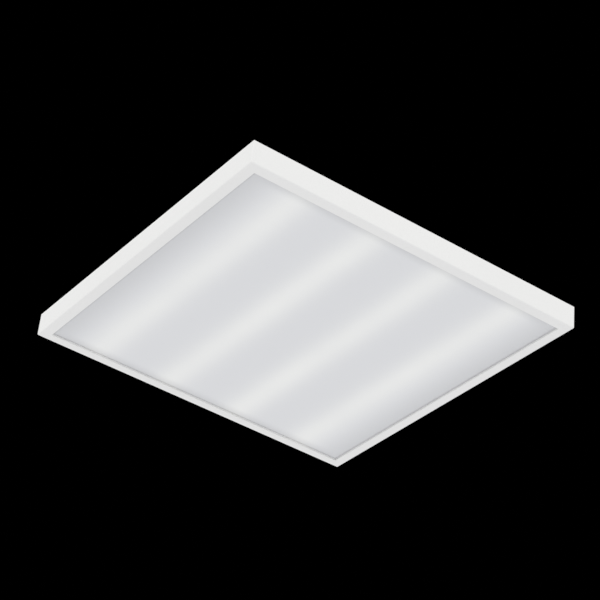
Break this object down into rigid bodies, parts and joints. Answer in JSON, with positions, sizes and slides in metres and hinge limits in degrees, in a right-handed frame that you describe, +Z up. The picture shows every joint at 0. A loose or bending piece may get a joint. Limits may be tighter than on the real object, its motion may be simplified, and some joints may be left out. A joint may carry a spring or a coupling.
{
  "type": "recessed troffer light",
  "caption": "Square shallow ceiling-grid panel light with a slim lip, opal diffuser, light boards, and a rear gear box with hinged cover, push terminals and swing-out clips.",
  "frame": {"origin": "centre of the lit face, on the plane of the lip's visible side", "axes": "+Z up through the light towards its back, X along the light boards, Y across them"},
  "size_m": [0.595, 0.595, 0.0722],
  "materials": {
    "white_powder_coat": "satin white powder coat",
    "white_plate_paint": "satin white powder coat",
    "opal_sheet": "opal prismatic polystyrene",
    "spring_steel": "plain spring steel",
    "board_white": "white solder mask",
    "light_chip": "phosphor yellow",
    "white_nylon": "moulded nylon",
    "white_wire": "PVC insulation",
    "galvanised_steel": "zinc coated",
    "zinc_fasteners": "zinc plated",
    "tinned_tag": "tinned copper",
    "driver_plastic": "moulded polycarbonate",
    "circuit_green": "green solder mask",
    "terminal_grey": "moulded polyamide",
    "ferrite": "sintered ferrite",
    "winding_tape": "yellow tape",
    "capacitor_sleeve": "shrink sleeve",
    "copper_coil": "enamelled copper",
    "button_brown": "moulded",
    "button_blue": "moulded",
    "button_green": "moulded",
    "lead_brown": "PVC insulation",
    "lead_blue": "PVC insulation",
    "lead_green": "green and yellow PVC insulation",
    "grommet_rubber": "moulded rubber"
  },
  "bodies": {
    "housing": {"back_plate": "white_plate_paint", "back_screws": "zinc_fasteners", "board_connectors": "white_nylon", "board_rivets": "white_nylon", "bracket_rivets": "zinc_fasteners", "cable_grommet": "grommet_rubber", "cord_grip_bar": "white_nylon", "cord_grip_base": "white_nylon", "cord_grip_screws": "zinc_fasteners", "diffuser": "opal_sheet", "diffuser_clips": "spring_steel", "driver_base": "driver_plastic", "driver_capacitors": "capacitor_sleeve", "driver_chokes": "copper_coil", "driver_circuit_board": "circuit_green", "driver_cover": "driver_plastic", "driver_screws": "zinc_fasteners", "driver_terminals": "terminal_grey", "earth_lead": "lead_green", "earth_screw": "zinc_fasteners", "earth_tag": "tinned_tag", "frame_shell": "white_powder_coat", "gear_box": "galvanised_steel", "gear_box_ends": "galvanised_steel", "gear_rivets": "zinc_fasteners", "grid_clip_pivots": "zinc_fasteners", "led_board_1": "board_white", "led_board_2": "board_white", "led_board_3": "board_white", "led_board_4": "board_white", "led_chips_1": "light_chip", "led_chips_2": "light_chip", "led_chips_3": "light_chip", "led_chips_4": "light_chip", "lid_hinge_pins": "zinc_fasteners", "link_wires": "white_wire", "live_lead": "lead_brown", "neutral_lead": "lead_blue", "output_leads": "white_wire", "plate_grommet": "grommet_rubber", "suspension_brackets": "galvanised_steel", "terminal_block": "terminal_grey", "terminal_clamps": "spring_steel", "transformer_core": "ferrite", "transformer_winding": "winding_tape", "wire_saddles": "white_nylon"},
    "lid": {"gear_lid": "galvanised_steel", "lid_screw": "zinc_fasteners"},
    "live_button": {"live_button": "button_brown"},
    "neutral_button": {"neutral_button": "button_blue"},
    "earth_button": {"earth_button": "button_green"},
    "grid_clip_1": {"grid_clip_1": "galvanised_steel"},
    "grid_clip_2": {"grid_clip_2": "galvanised_steel"},
    "grid_clip_3": {"grid_clip_3": "galvanised_steel"},
    "grid_clip_4": {"grid_clip_4": "galvanised_steel"}
  },
  "joints": [
    {"name": "lid_hinge", "type": "hinge", "parent": "housing", "child": "lid", "pos_m": [0, 0.0426, 0.0678], "axis": [-1, 0, 0], "range_deg": [0, 110]},
    {"name": "live_button_press", "type": "slide", "parent": "housing", "child": "live_button", "axis": [0, 0, -1], "range_m": [0, 0.002], "stiffness_N_per_m": 600, "springref_m": -0.002},
    {"name": "neutral_button_press", "type": "slide", "parent": "housing", "child": "neutral_button", "axis": [0, 0, -1], "range_m": [0, 0.002], "stiffness_N_per_m": 600, "springref_m": -0.002},
    {"name": "earth_button_press", "type": "slide", "parent": "housing", "child": "earth_button", "axis": [0, 0, -1], "range_m": [0, 0.002], "stiffness_N_per_m": 600, "springref_m": -0.002},
    {"name": "grid_clip_1_swing", "type": "hinge", "parent": "housing", "child": "grid_clip_1", "pos_m": [0.275, 0.15, 0.0412], "axis": [0, 0, 1], "range_deg": [0, 90]},
    {"name": "grid_clip_2_swing", "type": "hinge", "parent": "housing", "child": "grid_clip_2", "pos_m": [-0.275, 0.15, 0.0412], "axis": [0, 0, -1], "range_deg": [0, 90]},
    {"name": "grid_clip_3_swing", "type": "hinge", "parent": "housing", "child": "grid_clip_3", "pos_m": [-0.275, -0.15, 0.0412], "axis": [0, 0, 1], "range_deg": [0, 90]},
    {"name": "grid_clip_4_swing", "type": "hinge", "parent": "housing", "child": "grid_clip_4", "pos_m": [0.275, -0.15, 0.0412], "axis": [0, 0, -1], "range_deg": [0, 90]}
  ]
}
